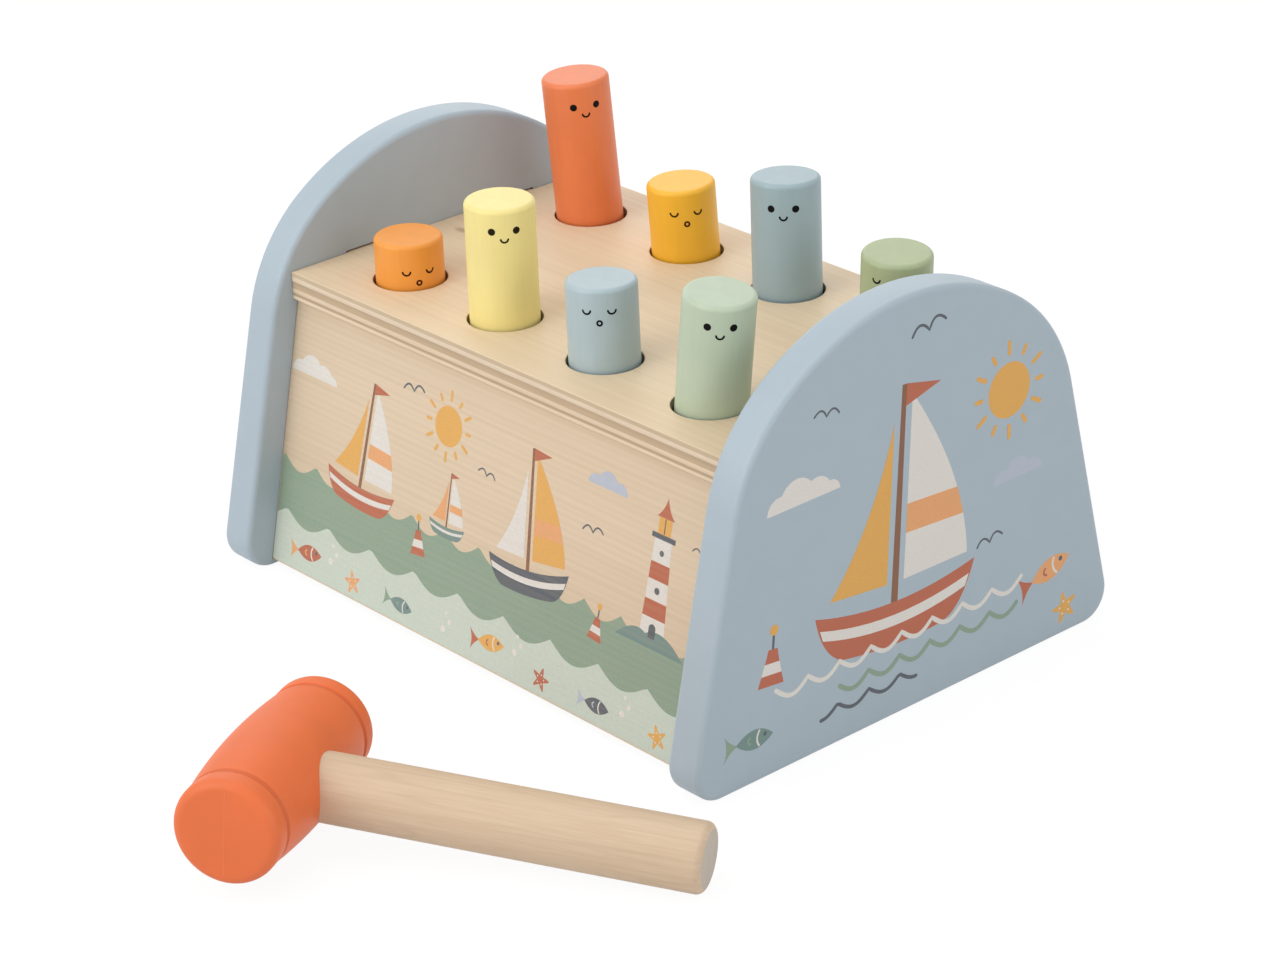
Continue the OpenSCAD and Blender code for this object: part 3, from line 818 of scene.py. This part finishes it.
def fish(bodyInk, finInk):
    body = bend((7.5, 0), (1, 5.6), (-5.5, 0)) + bend((-5.5, 0), (1, -5.6), (7.5, 0))
    tail = (bend((-4.8, 0), (-7.5, 1), (-9.6, 3.8), 6) + bend((-9.6, 3.8), (-8, 0), (-9.6, -3.8), 6)
            + bend((-9.6, -3.8), (-7.5, -1), (-4.8, 0), 6))
    gill = bend((2.6, 2.1), (1.1, 0), (2.6, -2.1), 8)
    fin = bend((-0.6, 0.9), (-2, 0), (-0.6, -0.9), 8)
    return [(finInk, tail, None), (bodyInk, body, None), ("cream", gill, 0.6), (finInk, fin, 0.6),
            ("charcoal", disc(4.6, 0.6, 0.62), None)]


def lighthouse():
    def tier(low, high):
        near, far = (6 - 2 * y / 36 for y in (low, high))
        return [(-near, low), (near, low), (far, high), (-far, high)]
    rock = bend((-17, -1.5), (-9, 6), (-3, 3)) + bend((-3, 3), (5, 8), (16, -1.5))
    roof = bend((-4.2, 43.5), (-1, 46), (0, 50.5)) + bend((0, 50.5), (1, 46), (4.2, 43.5))
    door = [(-1.6, 2), (1.6, 2)] + arc((0, 5.4), 1.6, 0, 180, 12)
    return [("cream", tier(0, 36), None), ("rust", tier(9, 15), None), ("rust", tier(22, 28), None),
            ("teal", rock, None), ("charcoal", [(-5.6, 36), (5.6, 36), (5.6, 37.8), (-5.6, 37.8)], None),
            ("mustard", [(-3, 37.8), (3, 37.8), (3, 43.5), (-3, 43.5)], None),
            ("charcoal", [(0, 38.2), (0, 43.2)], 0.5), ("rust", roof, None), ("charcoal", door, None),
            ("charcoal", disc(0, 18.5, 1.2), None), ("charcoal", disc(0, 31.5, 1), None)]


def buoy():
    body = bend((-4, 0), (-2, 6), (-1.4, 9), 8) + bend((1.4, 9), (2, 6), (4, 0), 8)
    return [("charcoal", [(0, 8.8), (0, 13)], 0.7), ("rust", body, None),
            ("cream", [(-3.1, 2.8), (3.1, 2.8), (2.3, 5.6), (-2.3, 5.6)], None),
            ("mustard", disc(0, 13.6, 1.3), None)]


def starfish(ink):
    outline = []
    for k in range(5):
        turns = [math.radians(90 + 72 * k + step) for step in (-36, 0, 36)]
        root, tip, far = ((r * math.cos(a), r * math.sin(a)) for r, a in zip((2.6, 11, 2.6), turns))
        outline += bend(root, tip, far, 10)
    dots = [("cream", disc(2.6 * math.cos(a), 2.6 * math.sin(a), 0.45), None)
            for a in (math.radians(90 + 72 * k) for k in range(5))]
    return [(ink, clean(outline), None)] + dots


def bubbles(ink):
    return [(ink, disc(x, y, r), None) for x, y, r in ((0, 0, 1.1), (2.6, 2.9, 0.8), (0.6, 5.4, 0.6))]


def crest(x, pitch, height, phase):  # round troughs and pointed tops
    return height * (1 - abs(math.sin(math.pi * (x / pitch + phase))))


def alongWaves(half, pitch):
    steps = int(2 * half / pitch * 12)
    return [-half + 2 * half * i / steps for i in range(steps + 1)]


def seaBand(ink, half, low, level, pitch, height, phase):
    top = [(x, level + crest(x, pitch, height, phase)) for x in alongWaves(half, pitch)]
    return [(ink, top + [(half, low), (-half, low)], None)]


def waveLine(ink, half, pitch, height, width):
    return [(ink, [(x, crest(x, pitch, height, 0)) for x in alongWaves(half, pitch)], width)]


bigCloud = [(-9, 0, 5), (-2, 1.5, 7), (6, 0.8, 5.6), (11.5, 0, 3.6)]
smallCloud = [(-6, 0, 3.6), (0, 1, 5), (6, 0, 3.8)]

boardHalf = panelLow.x / mm - printSizes["margin"]
# each row: a drawing, its place, scale, turn in degrees and first layer
sea = [(seaBand("sage", boardHalf, 0.6, 33, 16.5, 4.2, 0.1), (0, 0), 1, 0, 0),
       (seaBand("mint", boardHalf, 0.6, 15, 22, 4.6, 0.4), (0, 0), 1, 0, 12)]
frontPicture = sea + [
    (boat("rust", "cream", "mustard"), (-62, 31), 1.2, -4, 1),
    (boat("charcoal", "mustard", "cream"), (22, 30), 1.3, 5, 1),
    (boat("teal", "cream", "peach"), (-18, 35), 0.6, 0, 1),
    (lighthouse(), (78, 33), 0.9, 0, 1),
    (sun(6.5), (-22, 70), 1, 0, 0), (cloud(bigCloud), (-90, 66), 0.8, 0, 0),
    (cloud(smallCloud, "lilac"), (52, 73), 0.9, 0, 0), (gull(5), (-40, 76), 1, 8, 0),
    (gull(4), (-2, 60), 1, -6, 0), (gull(4.5), (48, 58), 1, 6, 0), (gull(3.6), (94, 66), 1, 0, 0),
    (buoy(), (-30, 25), 0.9, 6, 1), (buoy(), (54, 26), 0.8, -5, 1),
    (fish("rust", "peach"), (-84, 8), 0.95, 6, 13), (fish("teal", "sage"), (-36, 6.5), 0.85, -4, 13),
    (fish("mustard", "rust"), (8, 9), 0.95, 8, 13), (fish("charcoal", "lilac"), (58, 6.5), 0.85, 0, 13),
    (starfish("peach"), (-60, 5.8), 0.62, 15, 13), (starfish("rust"), (33, 5.8), 0.6, -12, 13),
    (starfish("mustard"), (86, 6.2), 0.62, 20, 13), (bubbles("cream"), (-72, 9), 1, 0, 13),
    (bubbles("cream"), (20, 10), 1, 0, 13), (bubbles("cream"), (-14, 6), 1, 0, 13),
    (bubbles("cream"), (70, 8), 1, 0, 13)]
backPicture = sea + [
    (boat("mustard", "cream", "rust"), (58, 31), 1.25, 4, 1),
    (boat("rust", "cream", "peach"), (-30, 30), 1.2, -5, 1),
    (lighthouse(), (-82, 33), 0.9, 0, 1), (boat("charcoal", "cream", "mustard"), (14, 35), 0.6, 0, 1),
    (sun(6.5), (24, 71), 1, 0, 0), (cloud(bigCloud), (86, 68), 0.8, 0, 0),
    (cloud(smallCloud, "lilac"), (-54, 74), 0.9, 0, 0), (gull(5), (-6, 66), 1, 6, 0),
    (gull(4), (38, 58), 1, -6, 0), (gull(4.5), (-62, 60), 1, 8, 0),
    (buoy(), (30, 25), 0.9, -6, 1), (fish("teal", "sage"), (84, 8), 0.95, 4, 13),
    (fish("rust", "peach"), (36, 7), 0.9, -6, 13), (fish("mustard", "rust"), (-12, 8), 0.95, 6, 13),
    (fish("charcoal", "lilac"), (-66, 7), 0.9, 0, 13), (starfish("peach"), (60, 6), 0.62, 12, 13),
    (starfish("rust"), (-40, 6), 0.62, -8, 13), (bubbles("cream"), (10, 8), 1, 0, 13)]
rightPicture = [
    (waveLine("cream", 52, 13, 3.6, 1.5), (-4, 24), 1, 0, 9),
    (waveLine("sage", 38, 13, 3.6, 1.5), (8, 16.5), 1, 0, 9),
    (waveLine("charcoal", 20, 13, 3.2, 1.2), (-18, 10.5), 1, 0, 9),
    (boat("rust", "cream", "mustard"), (-8, 26), 2.35, -4, 0), (sun(9), (42, 92), 1, 0, 0),
    (cloud(bigCloud), (-44, 84), 1, 0, 0), (cloud(smallCloud, "lilac"), (46, 62), 1.1, 0, 0),
    (gull(7), (8, 122), 1, 8, 0), (gull(5), (-34, 108), 1, -8, 0), (gull(5.5), (34, 44), 1, 6, 0),
    (fish("peach", "rust"), (60, 25), 1.35, 14, 0), (fish("teal", "sage"), (-66, 15), 1.15, -4, 0),
    (starfish("mustard"), (68, 9.5), 0.85, 12, 0), (buoy(), (-58, 30), 1.3, -6, 0)]
leftPicture = [
    (waveLine("cream", 50, 13, 3.6, 1.5), (0, 24), 1, 0, 12),
    (waveLine("sage", 36, 13, 3.6, 1.5), (-10, 16.5), 1, 0, 12),
    (waveLine("charcoal", 20, 13, 3.2, 1.2), (16, 10.5), 1, 0, 12),
    (lighthouse(), (14, 28), 1.75, 0, 0), (boat("rust", "cream", "mustard"), (-38, 27), 1.15, 5, 0),
    (sun(9), (-36, 92), 1, 0, 0), (cloud(bigCloud), (46, 78), 0.95, 0, 0),
    (cloud(smallCloud, "lilac"), (-12, 112), 1, 0, 0),
    (gull(6), (-8, 84), 1, 8, 0), (gull(5), (50, 58), 1, -8, 0), (fish("peach", "rust"), (60, 12), 1.2, 4, 0),
    (fish("teal", "sage"), (-62, 12), 1.15, -4, 0), (starfish("mustard"), (-70, 34), 0.8, 12, 0)]


def printPicture(name, picture, inks, place):
    bm = bmesh.new()
    used = list(inks)
    for items, spot, scale, lean, layer in picture:
        turn = Matrix.Rotation(math.radians(lean), 2)
        for order, (ink, points, width) in enumerate(items):
            moved = [tuple(turn @ Vector(point) * scale + Vector(spot)) for point in points]
            high = printSizes["first"] + printSizes["step"] * (layer + order)
            before = len(bm.faces)
            if width:
                ribbon(bm, moved, width * scale, printSizes["under"], high, place)
            else:
                slab(bm, clean(moved), printSizes["under"], high, place)
            for made in list(bm.faces)[before:]:
                made.material_index = used.index(ink)
    newPiece(name, bm, "bench", list(inks.values()), sharp=printSizes["sharp"])


def wallPlace(side):  # from the foot of the front or back board up its slope
    foot = Vector((0, side * wall["footY"], wall["footZ"]))
    climb = (Vector((0, side * wall["headY"], wall["headZ"])) - foot).normalized()
    along = Vector((-side, 0, 0))
    out = along.cross(climb)
    return lambda x, y, height: foot + (along * x + climb * y + out * height) * mm


def panelPlace(side):
    return lambda x, y, height: (side * (panelHigh.x + height * mm), side * x * mm, y * mm)


wallInks = {name: inkFinish(f"{name}OnWood", colour, wallWood) for name, colour in inkTints.items()}
panelInks = {name: inkFinish(f"{name}OnPaint", colour) for name, colour in inkTints.items()}
printPicture("front_print", frontPicture, wallInks, wallPlace(-1))
printPicture("back_print", backPicture, wallInks, wallPlace(1))
printPicture("right_print", rightPicture, panelInks, panelPlace(1))
printPicture("left_print", leftPicture, panelInks, panelPlace(-1))
print("pictures printed")

# Pieces inside the bench keep their frame shapes

insides = {"base_board": woodFinish("baseVeneer", baseWood), "pivot_rod": steelFinish("rodSteel"),
           "end_spacers": woodFinish("spacerBeech", beechWood)}
insides["middle_spacers"] = insides["end_spacers"]
rockerBeech = woodFinish("rockerBeech", beechWood)
for n in (1, 2, 3, 4):
    insides[f"rocker_{n}"] = rockerBeech
for name, finish in insides.items():
    nodes[name].data.materials.clear()
    nodes[name].data.materials.append(finish.material)
print("inner pieces finished:", len(insides))

# Floor, light and camera

view = {"azimuth": 49.102, "elevation": 25.319, "roll": -2.09, "distance": 1.21026, "lens": 107.205,
        "sensor": 36, "target": (-0.19 * mm, -5.89 * mm, 40.49 * mm)}
studio = {"ambient": 0.55, "floorSize": 8, "floorTone": 0.7, "floorGrit": 0.99, "floorGlow": 0.85,
          "glowStrength": 1.09}
# each lamp: direction from the bench, distance, size, and how bright it makes a white card that faces it
lamps = {"key": ((-0.45, -0.85, 0.75), 1.7, 1.2, 0.15), "front": ((-0.1, -1, 0.5), 1.7, 1.2, 0.235),
         "top": ((-0.1, -0.1, 1), 1.7, 1.2, 0.2), "sheen": ((-0.68, 0.59, 0.43), 1.7, 1.2, 0.11),
         "fill": ((0.95, 0.05, 0.25), 1.7, 1.2, 0.175)}

bpy.context.scene.view_settings.view_transform = "Standard"
target = Vector(view["target"])

for name, (direction, distance, size, brightness) in lamps.items():
    light = bpy.data.lights.new(name, "AREA")
    light.shape = "DISK"
    light.size = size
    light.energy = brightness * math.pi ** 2 * distance ** 2
    lamp = bpy.data.objects.new(name, light)
    aim = Vector(direction).normalized()
    lamp.location = target + aim * distance
    lamp.rotation_euler = aim.to_track_quat("Z", "Y").to_euler()
    bpy.context.scene.collection.objects.link(lamp)


def seenRays(finish):  # rays that show the background: from the camera, off gloss or through glass
    path = [finish.node("ShaderNodeLightPath", output=name)
            for name in ("Is Camera Ray", "Is Glossy Ray", "Is Transmission Ray")]
    return path[0] | path[1] | path[2]


world = bpy.data.worlds.new("studio")
bpy.context.scene.world = world
sky = Finish(world)
ambient = (studio["ambient"],) * 3 + (1,)
sky.surface({"Color": sky.mix(seenRays(sky), ambient, (1, 1, 1, 1)), "Strength": 1}, "Background")

floorPaper = newFinish("floorPaper")
grit = floorPaper.noise((300, 300, 300), 2)
paperTone = shade((1, 1, 1), studio["floorTone"])
paper = floorPaper.mix(grit, shade(paperTone, studio["floorGrit"]), paperTone)
floorPaper.surface({"Base Color": paper, "Roughness": 0.9, "Specular IOR Level": 0.1})
glow = floorPaper.node("ShaderNodeEmission", {}, {"Color": (1, 1, 1, 1), "Strength": studio["glowStrength"]})
lit = Signal(floorPaper, floorPaper.tree.nodes["Principled BSDF"].outputs[0])
seen = seenRays(floorPaper) * studio["floorGlow"]
cover = floorPaper.node("ShaderNodeMixShader", {}, {0: seen, 1: lit, 2: glow})
floorPaper.surface({"Surface": cover}, "Material Output")

bm = bmesh.new()
reach = studio["floorSize"] / 2
corners = ((-reach, -reach), (reach, -reach), (reach, reach), (-reach, reach))
bm.faces.new([bm.verts.new((x, y, 0)) for x, y in corners])
floorMesh = bpy.data.meshes.new("floor")
bm.to_mesh(floorMesh)
bm.free()
floorMesh.materials.append(floorPaper.material)
floor = bpy.data.objects.new("floor", floorMesh)
bpy.context.scene.collection.objects.link(floor)

azimuth, elevation, roll = (math.radians(view[key]) for key in ("azimuth", "elevation", "roll"))
level = math.cos(elevation)
back = Vector((math.sin(azimuth) * level, -math.cos(azimuth) * level, math.sin(elevation)))
right = Vector((math.cos(azimuth), math.sin(azimuth), 0))
up = back.cross(right)
turn = Matrix((right * math.cos(roll) + up * math.sin(roll),
               up * math.cos(roll) - right * math.sin(roll), back))
cameraData = bpy.data.cameras.new("camera")
cameraData.lens = view["lens"]
cameraData.sensor_width = view["sensor"]
cameraData.sensor_fit = "HORIZONTAL"
camera = bpy.data.objects.new("camera", cameraData)
camera.matrix_world = Matrix.Translation(target + back * view["distance"]) @ turn.transposed().to_4x4()
bpy.context.scene.collection.objects.link(camera)
bpy.context.scene.camera = camera
print("floor, lamps and camera set")
